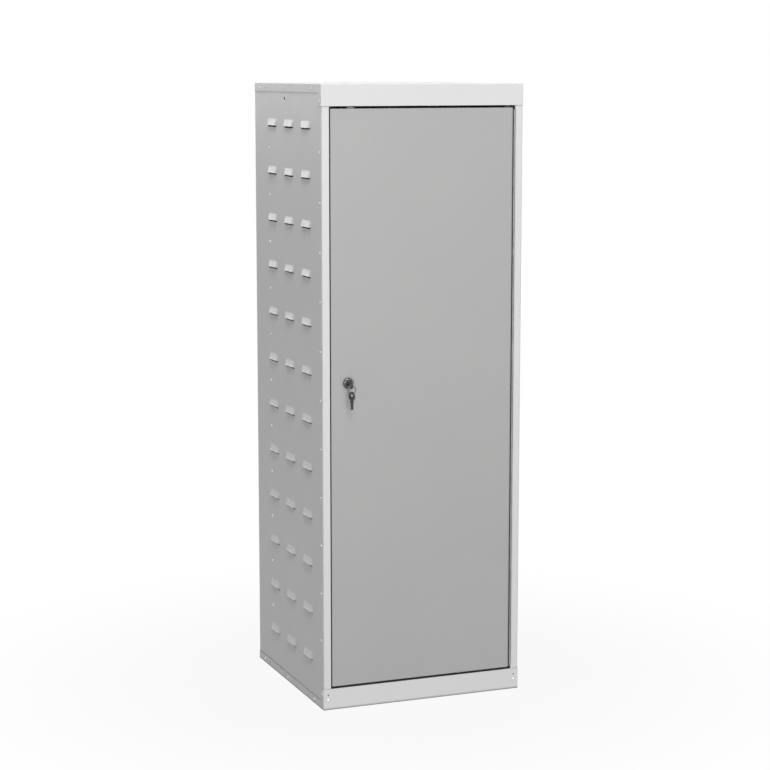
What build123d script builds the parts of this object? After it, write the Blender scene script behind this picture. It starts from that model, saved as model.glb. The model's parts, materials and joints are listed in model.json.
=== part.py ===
from build123d import *
import math
import os

os.makedirs("parts", exist_ok=True)

# A tall sheet-steel locker: a carcass of folded panels, shelves on riveted ledges, and one door
# on a continuous hinge, shut by a cam lock that drives two rods. Millimetres, +Z up, the door
# faces -Y, and the origin is the middle of the footprint on the ground.

# Overall sizes
WIDTH = 500.0
DEPTH = 480.0
HEIGHT = 1450.0

# Sheet metal
SHEET = 1.0
BEND = 1.5
TRAY_CORNER = 2.0
SEAT_GAP = 0.3
EDGE_GAP = 1.2
END_GAP = 0.8

# Cap and base trays, one pressing used twice
TRAY_FRONT_HEIGHT = 50.0
TRAY_FLANGE_HEIGHT = 20.0
TRAY_RETURN_DEPTH = 20.0

# Front posts
STILE_WIDTH = 20.0
POST_SETBACK = 1.0
POST_RETURN_DEPTH = 7.0
STOP_LIP = 12.0

# Back and floor panels
BACK_FLANGE = 15.0
BACK_END_GAP = 5.0

# Louvres: rows hang from the top, columns start at the front
LOUVRE_WIDTH = 64.0
LOUVRE_HEIGHT = 18.0
LOUVRE_CORNER = 9.0
LOUVRE_DEPTH = 4.5
LOUVRE_LIP_WIDTH = 54.0
LOUVRE_LIP_HEIGHT = 4.0
LOUVRE_LIP_CORNER = 2.5
LOUVRE_COLUMNS = 3
LOUVRE_FIRST_COLUMN = 106.0
LOUVRE_COLUMN_PITCH = 120.5
LOUVRE_FIRST_DROP = 101.0
LOUVRE_LAST_HEIGHT = 103.8
LOUVRE_ROWS = 12

# Rivets and the hole that joins one cabinet to the next
RIVET_HEAD_RADIUS = 3.2
RIVET_HEAD_HEIGHT = 1.5
RIVET_SHANK_RADIUS = 1.6
RIVET_TAIL_RADIUS = 2.6
RIVET_TAIL_HEIGHT = 1.2
RIVET_CLEARANCE = 0.05
LEDGE_RIVET_FRONT = 12.5
LEDGE_RIVET_REAR = 369.0
LEDGE_RIVET_BELOW_MOUTH = 52.3
FLANGE_RIVET_HEIGHT = 11.0
FLANGE_RIVET_FRONT = 62.0
FLANGE_RIVET_MIDDLE = 256.0
FLANGE_RIVET_END = 48.0
RETURN_RIVET_DEPTH = 9.0
RETURN_RIVET_HEIGHT = 38.0
PLINTH_RIVET_INSET = 12.0
PLINTH_RIVET_HEIGHT = 24.0
PLINTH_HOLE_HEIGHT = 36.0
FLANGE_HOLE_DEPTH = 393.0
RIM_ROUND = 0.6
JOINING_HOLE_RADIUS = 4.5
JOINING_HOLE_DEPTH = 256.0
JOINING_HOLE_DROP = 36.0

# Brackets in the corners of the plinth
BRACKET_LEG = 20.0
BRACKET_HEIGHT = 40.0
BRACKET_FOOT = 5.0

# Ledges and shelves
LEDGE_HEIGHT = 20.0
LEDGE_LEG = 15.0
LEDGE_GAP = 0.5
SHELF_FLANGE = 15.0
SHELF_REAR = 385.0
SHELF_GAP = 0.5

# Door
DOOR_SETBACK = 1.0
DOOR_DEPTH = 22.0
DOOR_LIP = 12.0
DOOR_GAP_LEFT = 2.0
DOOR_GAP_HINGE = 4.5
DOOR_GAP_TOP = 5.0
DOOR_GAP_BOTTOM = 4.0
DOOR_HINGE_CORNER = 4.0
DOOR_BEND = 2.5
STIFFENER_WEB = 40.0
STIFFENER_FLANGE = 14.0
STIFFENER_HEIGHT = 16.0
STIFFENER_END_GAP = 26.0
BUFFER_RADIUS = 5.0
BUFFER_THICKNESS = 4.7
BUFFER_COUNT = 3
BUFFER_END = 150.0

# Continuous hinge
KNUCKLE_LENGTH = 25.4
KNUCKLE_GAP = 0.25
HINGE_PIN_RADIUS = 1.1
HINGE_PIN_CLEARANCE = 0.05
HINGE_LEAF_WIDTH = 19.0

# Cam lock
LOCK_FROM_LEFT = 64.5
LOCK_HEIGHT = 770.0
LOCK_HEAD_RADIUS = 12.0
LOCK_HEAD_HEIGHT = 4.0
LOCK_HEAD_ROUND = 2.8
LOCK_BARREL_RADIUS = 9.0
LOCK_NUT_FLATS = 24.0
LOCK_NUT_THICKNESS = 5.0
LOCK_CLEARANCE = 0.05
PLUG_RADIUS = 5.5
PLUG_RECESS = 0.4
PLUG_END_WALL = 1.3
SHANK_SIDE = 6.0
CAM_THICKNESS = 2.0
CAM_BAR_WIDTH = 14.0
CAM_PIN_RADIUS = 2.5
CAM_PIN_OFFSET = 14.0
CAM_PIN_END = 0.8
CAM_CLEARANCE = 0.5
CAM_START_ANGLE = -45.0
CAM_SCREW_HEAD_RADIUS = 3.5
CAM_SCREW_HEAD_HEIGHT = 2.2
CAM_SCREW_RADIUS = 1.5
CAM_SCREW_LENGTH = 2.6

# Locking rods and their guides
ROD_WIDTH = 18.0
ROD_THICKNESS = 2.0
ROD_OFFSET = 13.0
ROD_TIP_GAP = 1.5
ROD_TAIL = 18.0
ROD_TIP_CHAMFER = 2.0
ROD_SLOT_PLAY = 1.4
ROD_LIP_GAP = 3.0
ROD_CLEARANCE = 0.4
SILL_SLOT_CLEARANCE = 1.0
GUIDE_SHEET = 1.5
GUIDE_WIDTH = 27.0
GUIDE_FOOT = 14.0
GUIDE_FROM_LOCK = 190.0
GUIDE_FROM_TOP = 135.0
GUIDE_FROM_BOTTOM = 226.0

# Keys and their ring
KEY_THICKNESS = 2.0
KEY_BLADE_HEIGHT = 8.0
KEY_NECK_HEIGHT = 9.5
KEY_NECK_LENGTH = 7.0
KEY_BOW_RADIUS = 10.5
KEY_HOLE_RADIUS = 4.5
KEY_HOLE_OFFSET = 2.8
KEY_SEAT_GAP = 0.3
KEY_TIP_CHAMFER = 2.0
KEY_CUT_START = 1.9
KEY_CUT_DEPTHS = (1.0, 2.2, 0.8, 1.6)
KEYWAY_CLEARANCE = 0.25
KEYWAY_END_GAP = 0.5
RING_RADIUS = 10.0
RING_WALL = 1.5
RING_THICKNESS = 2.6
RING_GAP = 0.8
SPARE_KEY_TURN = 21.0

# Planes and places worked out from the sizes above
FRONT = -DEPTH / 2
BACK = DEPTH / 2
FLANGE_FACE = WIDTH / 2
PANEL_FACE = FLANGE_FACE - SHEET
PANEL_INSIDE = PANEL_FACE - SHEET
PANEL_BOTTOM = SHEET + END_GAP
PANEL_TOP = HEIGHT - SHEET - END_GAP
SILL_TOP = TRAY_FRONT_HEIGHT
HEADER_UNDERSIDE = HEIGHT - TRAY_FRONT_HEIGHT
POST_FACE = FRONT + POST_SETBACK
JAMB_FACE = FLANGE_FACE - STILE_WIDTH
BACK_INSIDE = BACK - 2 * SHEET

DOOR_FACE = POST_FACE + DOOR_SETBACK
DOOR_SKIN_INSIDE = DOOR_FACE + SHEET
DOOR_REAR = DOOR_FACE + DOOR_DEPTH
STOP_FACE = DOOR_REAR + SEAT_GAP + BUFFER_THICKNESS
STOP_BACK = STOP_FACE + SHEET
SILL_BACK = STOP_FACE - SHEET
DOOR_LEFT = -JAMB_FACE + DOOR_GAP_LEFT
DOOR_RIGHT = JAMB_FACE - DOOR_GAP_HINGE
DOOR_BOTTOM = SILL_TOP + DOOR_GAP_BOTTOM
DOOR_TOP = HEADER_UNDERSIDE - DOOR_GAP_TOP
DOOR_WIDTH = DOOR_RIGHT - DOOR_LEFT
DOOR_HEIGHT = DOOR_TOP - DOOR_BOTTOM
DOOR_MIDDLE_X = (DOOR_LEFT + DOOR_RIGHT) / 2
DOOR_MIDDLE_Z = (DOOR_BOTTOM + DOOR_TOP) / 2

ROW_PITCH = (HEIGHT - LOUVRE_FIRST_DROP - LOUVRE_LAST_HEIGHT) / (LOUVRE_ROWS - 1)
MOUTH_HEIGHTS = [HEIGHT - LOUVRE_FIRST_DROP - row * ROW_PITCH for row in range(LOUVRE_ROWS)]
LEDGE_HEIGHTS = [mouth - LEDGE_RIVET_BELOW_MOUTH for mouth in MOUTH_HEIGHTS[:-1]]
RIVET_HOLE_RADIUS = RIVET_SHANK_RADIUS + RIVET_CLEARANCE
FLANGE_RIVET_DEPTHS = (FLANGE_RIVET_FRONT, FLANGE_RIVET_MIDDLE, DEPTH - FLANGE_RIVET_END)

LOCK_X = -FLANGE_FACE + LOCK_FROM_LEFT
HEAD_FACE = DOOR_FACE - LOCK_HEAD_HEIGHT
PLUG_FACE = HEAD_FACE + PLUG_RECESS
ROD_BACK = DOOR_REAR - SHEET - ROD_LIP_GAP
ROD_FRONT = ROD_BACK - ROD_THICKNESS
CAM_BACK = ROD_FRONT - CAM_CLEARANCE
BARREL_END = CAM_BACK - CAM_THICKNESS - CAM_CLEARANCE
UPPER_ROD_X = LOCK_X + ROD_OFFSET
LOWER_ROD_X = LOCK_X - ROD_OFFSET
CAM_PIN_RISE = CAM_PIN_OFFSET * math.sin(math.radians(CAM_START_ANGLE))
CAM_PIN_NEAREST = CAM_PIN_OFFSET * math.cos(math.radians(CAM_START_ANGLE))
ROD_SLOT_OFFSET = (CAM_PIN_OFFSET + CAM_PIN_NEAREST) / 2
ROD_SLOT_HEIGHT = 2 * CAM_PIN_RADIUS + ROD_SLOT_PLAY
ROD_SLOT_LENGTH = CAM_PIN_OFFSET - CAM_PIN_NEAREST + ROD_SLOT_HEIGHT

HINGE_X = JAMB_FACE - DOOR_GAP_HINGE / 2
HINGE_Y = POST_FACE
KNUCKLE_RADIUS = DOOR_GAP_HINGE / 2 - SEAT_GAP
HINGE_NOTCH = KNUCKLE_RADIUS + SEAT_GAP
HINGE_LENGTH = DOOR_HEIGHT - 2 * DOOR_HINGE_CORNER
KNUCKLES = round(HINGE_LENGTH / KNUCKLE_LENGTH)
KNUCKLE_PITCH = HINGE_LENGTH / KNUCKLES
HINGE_BOTTOM = DOOR_MIDDLE_Z - HINGE_LENGTH / 2

KEY_SHOULDER = HEAD_FACE - KEY_SEAT_GAP
KEYWAY_END = BARREL_END - PLUG_END_WALL
KEY_BLADE_LENGTH = KEYWAY_END - KEYWAY_END_GAP - KEY_SHOULDER
KEY_CUT_PITCH = (KEY_BLADE_LENGTH - KEY_CUT_START - KEY_TIP_CHAMFER) / len(KEY_CUT_DEPTHS)
BOW_REACH = KEY_NECK_LENGTH + math.sqrt(KEY_BOW_RADIUS**2 - (KEY_NECK_HEIGHT / 2) ** 2)
KEY_HOLE_Y = KEY_SHOULDER - BOW_REACH - KEY_HOLE_OFFSET
RING_TOP = LOCK_HEIGHT - KEY_HOLE_RADIUS + RING_GAP + RING_WALL
RING_MIDDLE = RING_TOP - RING_RADIUS
RING_FLOOR = RING_MIDDLE - RING_RADIUS + RING_WALL
SPARE_HOLE_Z = RING_FLOOR + RING_GAP - KEY_HOLE_RADIUS

CAP_PLANE = Plane(origin=(0, 0, HEIGHT), x_dir=(-1, 0, 0), z_dir=(0, 0, -1))


def facing_front(y):
    """A plane that faces the viewer at depth y, with X to the right and Z up."""
    return Plane(origin=(0, y, 0), x_dir=(1, 0, 0), z_dir=(0, -1, 0))


def facing_side(side, y, z, face=PANEL_FACE):
    """A plane on the outside of a side panel, its normal pointing away from the cabinet."""
    return Plane(origin=(side * face, y, z), x_dir=(0, side, 0), z_dir=(side, 0, 0))


def save(piece, name):
    """Label a finished piece and write it as a node of its own."""
    piece.part.label = name
    export_step(piece.part, f"parts/{name}.step")


def rectangle_between(x_low, x_high, y_low, y_high):
    """A rectangle in the open sketch, given by its four sides."""
    with Locations(((x_low + x_high) / 2, (y_low + y_high) / 2)):
        Rectangle(x_high - x_low, y_high - y_low)


def folded_strip(points, radius=BEND, thickness=SHEET):
    """The section of a folded sheet in the open sketch: a bent line thickened to its left."""
    with BuildLine() as outline:
        FilletPolyline(*points, radius=radius)
        offset(amount=thickness, side=Side.LEFT)
    make_face(outline.edges())


# Cap and base: one pressing, the cap is the base turned over about the Y axis
with BuildPart() as pressing:
    with BuildSketch():
        RectangleRounded(WIDTH, DEPTH, TRAY_CORNER)
    extrude(amount=TRAY_FRONT_HEIGHT)
    fillet(pressing.edges().group_by(Axis.Z)[0], radius=BEND)
    offset(amount=-SHEET, openings=pressing.faces().sort_by(Axis.Z)[-1])
    with BuildSketch(Plane.XY.offset(TRAY_FLANGE_HEIGHT)):
        rectangle_between(-WIDTH, WIDTH, FRONT + TRAY_RETURN_DEPTH, DEPTH)
    extrude(amount=TRAY_FRONT_HEIGHT, mode=Mode.SUBTRACT)
    with BuildSketch(Plane.XY.offset(TRAY_FRONT_HEIGHT - SHEET)):
        sill_end = PANEL_INSIDE - LEDGE_GAP
        rectangle_between(-sill_end, sill_end, FRONT + SHEET / 2, SILL_BACK)
    extrude(amount=SHEET)
    rim = pressing.edges().filter_by(Axis.X).group_by(Axis.Z)[-1].sort_by(Axis.Y)[0]
    fillet(rim, radius=RIM_ROUND)
    for side in (-1, 1):
        with BuildSketch(facing_side(side, 0, 0, FLANGE_FACE)):
            for depth in (*FLANGE_RIVET_DEPTHS, FLANGE_HOLE_DEPTH):
                with Locations((side * (FRONT + depth), FLANGE_RIVET_HEIGHT)):
                    Circle(RIVET_HOLE_RADIUS)
            with Locations((side * (FRONT + RETURN_RIVET_DEPTH), RETURN_RIVET_HEIGHT)):
                Circle(RIVET_HOLE_RADIUS)
        extrude(amount=-SHEET, mode=Mode.SUBTRACT)


def cut_rod_slot(rod_x):
    """The slot in a tray's sill that a locking rod shoots into, in the tray's own plane."""
    with Locations((rod_x, (ROD_FRONT + ROD_BACK) / 2, TRAY_FRONT_HEIGHT)):
        slot_width = ROD_WIDTH + 2 * SILL_SLOT_CLEARANCE
        slot_depth = ROD_THICKNESS + 2 * SILL_SLOT_CLEARANCE
        Box(slot_width, slot_depth, 4 * SHEET, mode=Mode.SUBTRACT)


PLINTH_RIVET_XS = (-FLANGE_FACE + PLINTH_RIVET_INSET, FLANGE_FACE - PLINTH_RIVET_INSET)
PLINTH_RIVETS = [(x, PLINTH_RIVET_HEIGHT) for x in PLINTH_RIVET_XS]
PLINTH_HOLES = [(x, PLINTH_HOLE_HEIGHT) for x in PLINTH_RIVET_XS]

with BuildPart() as base_tray:
    add(pressing.part)
    cut_rod_slot(LOWER_ROD_X)
    with BuildSketch(facing_front(FRONT)):
        with Locations(*PLINTH_RIVETS, *PLINTH_HOLES):
            Circle(RIVET_HOLE_RADIUS)
    extrude(amount=-SHEET, mode=Mode.SUBTRACT)
save(base_tray, "base_tray")

with BuildPart(CAP_PLANE) as top_cap:
    add(pressing.part)
    cut_rod_slot(-UPPER_ROD_X)
save(top_cap, "top_cap")


# Side panels: flat sheet with pressed louvres that open downwards
def louvre_outline(width, height, corner):
    """A louvre's section: straight along the mouth, rounded at the two upper corners."""
    with BuildSketch(mode=Mode.PRIVATE) as outline:
        Rectangle(width, height, align=(Align.CENTER, Align.MIN))
        fillet(outline.vertices().group_by(Axis.Y)[-1], radius=corner)
    return outline.sketch


with BuildPart() as louvre_hood:
    with BuildSketch():
        add(louvre_outline(LOUVRE_WIDTH, LOUVRE_HEIGHT, LOUVRE_CORNER))
    with BuildSketch(Plane.XY.offset(LOUVRE_DEPTH)):
        add(louvre_outline(LOUVRE_LIP_WIDTH, LOUVRE_LIP_HEIGHT, LOUVRE_LIP_CORNER))
    loft()

with BuildPart() as louvre_hollow:
    with BuildSketch(Plane.XY.offset(-2 * SHEET)):
        add(louvre_outline(LOUVRE_WIDTH - 2 * SHEET, LOUVRE_HEIGHT - SHEET, LOUVRE_CORNER - SHEET))
    with BuildSketch(Plane.XY.offset(LOUVRE_DEPTH - SHEET)):
        lip_height = LOUVRE_LIP_HEIGHT - SHEET
        add(louvre_outline(LOUVRE_LIP_WIDTH - 2 * SHEET, lip_height, LOUVRE_LIP_CORNER - SHEET))
    loft()

COLUMN_DEPTHS = [LOUVRE_FIRST_COLUMN + column * LOUVRE_COLUMN_PITCH for column in range(LOUVRE_COLUMNS)]
LOUVRE_PLACES = [(FRONT + depth, mouth) for depth in COLUMN_DEPTHS for mouth in MOUTH_HEIGHTS]
LEDGE_RIVET_DEPTHS = (LEDGE_RIVET_FRONT, LEDGE_RIVET_REAR)
LEDGE_RIVETS = [(FRONT + depth, height) for depth in LEDGE_RIVET_DEPTHS for height in LEDGE_HEIGHTS]
CAP_RIVETS = [(FRONT + depth, HEIGHT - FLANGE_RIVET_HEIGHT) for depth in FLANGE_RIVET_DEPTHS]
CAP_RIVETS += [(FRONT + RETURN_RIVET_DEPTH, HEIGHT - RETURN_RIVET_HEIGHT)]
BASE_RIVETS = [(FRONT + depth, FLANGE_RIVET_HEIGHT) for depth in FLANGE_RIVET_DEPTHS]
BASE_RETURN_RIVET = (FRONT + RETURN_RIVET_DEPTH, RETURN_RIVET_HEIGHT)
FLANGE_HOLE_HEIGHTS = (FLANGE_RIVET_HEIGHT, HEIGHT - FLANGE_RIVET_HEIGHT)
FLANGE_HOLES = [(FRONT + FLANGE_HOLE_DEPTH, height) for height in FLANGE_HOLE_HEIGHTS]

with BuildPart() as left_side_panel:
    with BuildSketch(Plane.YZ.offset(-PANEL_FACE)):
        rectangle_between(FRONT + SHEET + EDGE_GAP, BACK - SHEET - EDGE_GAP, PANEL_BOTTOM, PANEL_TOP)
    extrude(amount=SHEET)
    with Locations(*[facing_side(-1, y, z) for y, z in LOUVRE_PLACES]):
        add(louvre_hood.part)
    with Locations(*[facing_side(-1, y, z) for y, z in LOUVRE_PLACES]):
        add(louvre_hollow.part, mode=Mode.SUBTRACT)
    with BuildSketch(Plane.YZ.offset(-PANEL_FACE)):
        with Locations(*LEDGE_RIVETS, *CAP_RIVETS, *BASE_RIVETS, BASE_RETURN_RIVET, *FLANGE_HOLES):
            Circle(RIVET_HOLE_RADIUS)
        with Locations((FRONT + JOINING_HOLE_DEPTH, HEIGHT - JOINING_HOLE_DROP)):
            Circle(JOINING_HOLE_RADIUS)
    extrude(amount=SHEET, mode=Mode.SUBTRACT)
save(left_side_panel, "left_side_panel")

with BuildPart() as right_side_panel:
    mirror(left_side_panel.part, about=Plane.YZ)
save(right_side_panel, "right_side_panel")

# Back panel: a pan whose side flanges lie against the side panels
with BuildPart() as back_panel:
    with BuildSketch(Plane.XY.offset(SHEET + BACK_END_GAP)):
        flange_end = BACK - SHEET - BACK_FLANGE
        back_points = [
            (PANEL_INSIDE, flange_end),
            (PANEL_INSIDE, BACK - SHEET),
            (-PANEL_INSIDE, BACK - SHEET),
            (-PANEL_INSIDE, flange_end),
        ]
        folded_strip(back_points)
    extrude(amount=HEIGHT - 2 * (SHEET + BACK_END_GAP))
save(back_panel, "back_panel")

# Floor panel: an inverted pan that stands in the base tray behind the sill
FLOOR_FRONT = SILL_BACK + SEAT_GAP
FLOOR_BACK = BACK_INSIDE - LEDGE_GAP
FLOOR_SIDE = PANEL_INSIDE - SHEET - LEDGE_GAP
with BuildPart() as floor_panel:
    with BuildSketch(Plane.XY.offset(SHEET)):
        rectangle_between(-FLOOR_SIDE, FLOOR_SIDE, FLOOR_FRONT, FLOOR_BACK)
    extrude(amount=SILL_TOP - SHEET)
    fillet(floor_panel.edges().group_by(Axis.Z)[-1], radius=BEND)
    offset(amount=-SHEET, openings=floor_panel.faces().sort_by(Axis.Z)[0])
save(floor_panel, "floor_panel")

# Front posts: side return, stile, jamb and the lip that the door shuts against
with BuildPart() as left_front_post:
    with BuildSketch(Plane.XY.offset(SILL_TOP)):
        post_points = [
            (-PANEL_INSIDE, POST_FACE + POST_RETURN_DEPTH),
            (-PANEL_INSIDE, POST_FACE),
            (-JAMB_FACE, POST_FACE),
            (-JAMB_FACE, STOP_FACE),
            (-JAMB_FACE + STOP_LIP, STOP_FACE),
        ]
        folded_strip(post_points)
    extrude(amount=HEADER_UNDERSIDE - SILL_TOP)
save(left_front_post, "left_front_post")

with BuildPart() as right_front_post:
    mirror(left_front_post.part, about=Plane.YZ)
save(right_front_post, "right_front_post")

# Corner brackets that tie the plinth to the side panels
with BuildPart() as plinth_corner_brackets:
    with BuildSketch(Plane.XY.offset(BRACKET_FOOT)):
        bracket_points = [
            (-PANEL_INSIDE, FRONT + SHEET + BRACKET_LEG),
            (-PANEL_INSIDE, FRONT + SHEET),
            (-PANEL_INSIDE + BRACKET_LEG, FRONT + SHEET),
        ]
        folded_strip(bracket_points)
    extrude(amount=BRACKET_HEIGHT)
    with BuildSketch(facing_front(FRONT + SHEET)):
        with Locations(*PLINTH_RIVETS, *PLINTH_HOLES):
            Circle(RIVET_HOLE_RADIUS)
    extrude(amount=-SHEET, mode=Mode.SUBTRACT)
    with BuildSketch(Plane.YZ.offset(-PANEL_INSIDE)):
        with Locations(BASE_RETURN_RIVET):
            Circle(RIVET_HOLE_RADIUS)
    extrude(amount=SHEET, mode=Mode.SUBTRACT)
    mirror(about=Plane.YZ)
save(plinth_corner_brackets, "plinth_corner_brackets")


# Rivets: domed head outside, shank through the sheets, set tail inside
def blind_rivet(sheets):
    """A set rivet along -Z from the outer face of so many sheets."""
    grip = sheets * SHEET
    dome_radius = (RIVET_HEAD_RADIUS**2 + RIVET_HEAD_HEIGHT**2) / (2 * RIVET_HEAD_HEIGHT)
    with BuildPart() as rivet:
        with BuildSketch(Plane.XZ):
            with BuildLine():
                Polyline(
                    (0, RIVET_HEAD_HEIGHT),
                    (0, -grip - RIVET_TAIL_HEIGHT),
                    (RIVET_TAIL_RADIUS, -grip - RIVET_TAIL_HEIGHT),
                    (RIVET_TAIL_RADIUS, -grip),
                    (RIVET_SHANK_RADIUS, -grip),
                    (RIVET_SHANK_RADIUS, 0),
                    (RIVET_HEAD_RADIUS, 0),
                )
                RadiusArc((RIVET_HEAD_RADIUS, 0), (0, RIVET_HEAD_HEIGHT), -dome_radius)
            make_face()
        revolve(axis=Axis.Z)
    return rivet.part


two_sheet_rivet = blind_rivet(2)
three_sheet_rivet = blind_rivet(3)

for side, name in ((-1, "left_panel_rivets"), (1, "right_panel_rivets")):
    with BuildPart() as panel_rivets:
        with Locations(*[facing_side(side, y, z) for y, z in LEDGE_RIVETS]):
            add(two_sheet_rivet)
    save(panel_rivets, name)

with BuildPart() as cap_rivets:
    with Locations(*[facing_side(side, y, z, FLANGE_FACE) for side in (-1, 1) for y, z in CAP_RIVETS]):
        add(two_sheet_rivet)
save(cap_rivets, "cap_rivets")

with BuildPart() as base_rivets:
    with Locations(*[facing_side(side, y, z, FLANGE_FACE) for side in (-1, 1) for y, z in BASE_RIVETS]):
        add(two_sheet_rivet)
    with Locations(*[facing_side(side, *BASE_RETURN_RIVET, FLANGE_FACE) for side in (-1, 1)]):
        add(three_sheet_rivet)
save(base_rivets, "base_rivets")

with BuildPart() as plinth_rivets:
    with Locations(*[facing_front(FRONT) * Location((x, z, 0)) for x, z in PLINTH_RIVETS]):
        add(two_sheet_rivet)
save(plinth_rivets, "plinth_rivets")

# Ledges: an angle under each end of a shelf, with a longer upright leg for the front rivet
LEDGE_START = POST_FACE + POST_RETURN_DEPTH + LEDGE_GAP
SHELF_START = STOP_BACK + LEDGE_GAP
SHELF_END = FRONT + SHELF_REAR

with BuildPart() as left_shelf_ledges:
    for rivet_height in LEDGE_HEIGHTS:
        ledge_top = rivet_height + LEDGE_HEIGHT / 2
        with BuildSketch(Plane.YZ.offset(-PANEL_INSIDE)):
            rectangle_between(LEDGE_START, SHELF_END, ledge_top - LEDGE_HEIGHT, ledge_top)
        extrude(amount=SHEET)
        with BuildSketch(Plane.XY.offset(ledge_top)):
            rectangle_between(-PANEL_INSIDE, -PANEL_INSIDE + LEDGE_LEG, SHELF_START, SHELF_END)
        extrude(amount=-SHEET)
    with BuildSketch(Plane.YZ.offset(-PANEL_INSIDE)):
        with Locations(*LEDGE_RIVETS):
            Circle(RIVET_HOLE_RADIUS)
    extrude(amount=SHEET, mode=Mode.SUBTRACT)
save(left_shelf_ledges, "left_shelf_ledges")

with BuildPart() as right_shelf_ledges:
    mirror(left_shelf_ledges.part, about=Plane.YZ)
save(right_shelf_ledges, "right_shelf_ledges")

# Shelves: flat trays that lie on the ledges, folded down at the front and the back
SHELF_HALF = PANEL_INSIDE - SHELF_GAP
SHELF_FLANGE_HALF = PANEL_INSIDE - LEDGE_LEG - SHELF_GAP
for number, rivet_height in enumerate(LEDGE_HEIGHTS, start=1):
    shelf_bottom = rivet_height + LEDGE_HEIGHT / 2
    with BuildPart() as shelf:
        with BuildSketch(Plane.XY.offset(shelf_bottom)):
            rectangle_between(-SHELF_HALF, SHELF_HALF, SHELF_START, SHELF_END)
        extrude(amount=SHEET)
        with BuildSketch(Plane.XY.offset(shelf_bottom)):
            for flange_start in (SHELF_START, SHELF_END - SHEET):
                rectangle_between(-SHELF_FLANGE_HALF, SHELF_FLANGE_HALF, flange_start, flange_start + SHEET)
        extrude(amount=-SHELF_FLANGE + SHEET)
        folds = shelf.edges().filter_by(Axis.X).group_by(Axis.Z)[-1]
        fillet(folds, radius=SHEET / 2)
    save(shelf, f"shelf_{number:02d}")

# Door pan: skin with returns on four sides and a lip round the back
with BuildPart() as door_pan:
    with BuildSketch(facing_front(DOOR_REAR)):
        rectangle_between(DOOR_LEFT, DOOR_RIGHT, DOOR_BOTTOM, DOOR_TOP)
    extrude(amount=DOOR_DEPTH)
    hinge_corners = door_pan.edges().filter_by(Axis.Y).group_by(Axis.X)[-1]
    fillet(hinge_corners, radius=DOOR_HINGE_CORNER)
    fillet(door_pan.edges().group_by(Axis.Y)[0], radius=DOOR_BEND)
    offset(amount=-SHEET, openings=door_pan.faces().sort_by(Axis.Y)[-1])
    with BuildSketch(facing_front(DOOR_REAR)):
        with Locations((DOOR_MIDDLE_X, DOOR_MIDDLE_Z)):
            RectangleRounded(DOOR_WIDTH - SHEET, DOOR_HEIGHT - SHEET, DOOR_HINGE_CORNER - SHEET / 2)
            Rectangle(DOOR_WIDTH - 2 * DOOR_LIP, DOOR_HEIGHT - 2 * DOOR_LIP, mode=Mode.SUBTRACT)
    extrude(amount=SHEET)
    rod_middle = (ROD_FRONT + ROD_BACK) / 2
    with Locations((UPPER_ROD_X, rod_middle, DOOR_TOP), (LOWER_ROD_X, rod_middle, DOOR_BOTTOM)):
        slot_width = ROD_WIDTH + 2 * ROD_CLEARANCE
        slot_depth = ROD_THICKNESS + 2 * ROD_CLEARANCE
        Box(slot_width, slot_depth, 4 * SHEET, mode=Mode.SUBTRACT)
    with BuildSketch(facing_front(DOOR_FACE)):
        with Locations((LOCK_X, LOCK_HEIGHT)):
            Circle(LOCK_BARREL_RADIUS + LOCK_CLEARANCE)
    extrude(amount=-SHEET, mode=Mode.SUBTRACT)
save(door_pan, "door_pan")

# Door stiffener: a hat channel down the middle of the skin
with BuildPart() as door_stiffener:
    with BuildSketch(Plane.XY.offset(DOOR_BOTTOM + STIFFENER_END_GAP)):
        web_half = STIFFENER_WEB / 2
        hat_points = [
            (DOOR_MIDDLE_X - web_half - STIFFENER_FLANGE, DOOR_SKIN_INSIDE),
            (DOOR_MIDDLE_X - web_half, DOOR_SKIN_INSIDE),
            (DOOR_MIDDLE_X - web_half, DOOR_SKIN_INSIDE + STIFFENER_HEIGHT),
            (DOOR_MIDDLE_X + web_half, DOOR_SKIN_INSIDE + STIFFENER_HEIGHT),
            (DOOR_MIDDLE_X + web_half, DOOR_SKIN_INSIDE),
            (DOOR_MIDDLE_X + web_half + STIFFENER_FLANGE, DOOR_SKIN_INSIDE),
        ]
        folded_strip(hat_points)
    extrude(amount=DOOR_HEIGHT - 2 * STIFFENER_END_GAP)
save(door_stiffener, "door_stiffener")

# Rubber buffers on the stop lip of the lock side
with BuildPart() as door_buffers:
    buffer_pitch = (DOOR_HEIGHT - 2 * BUFFER_END) / (BUFFER_COUNT - 1)
    buffer_heights = [DOOR_BOTTOM + BUFFER_END + step * buffer_pitch for step in range(BUFFER_COUNT)]
    with BuildSketch(facing_front(STOP_FACE)):
        with Locations(*[(DOOR_LEFT + DOOR_LIP / 2, height) for height in buffer_heights]):
            Circle(BUFFER_RADIUS)
    extrude(amount=BUFFER_THICKNESS)
    fillet(door_buffers.edges().group_by(Axis.Y)[0], radius=BEND)
save(door_buffers, "door_buffers")


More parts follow.
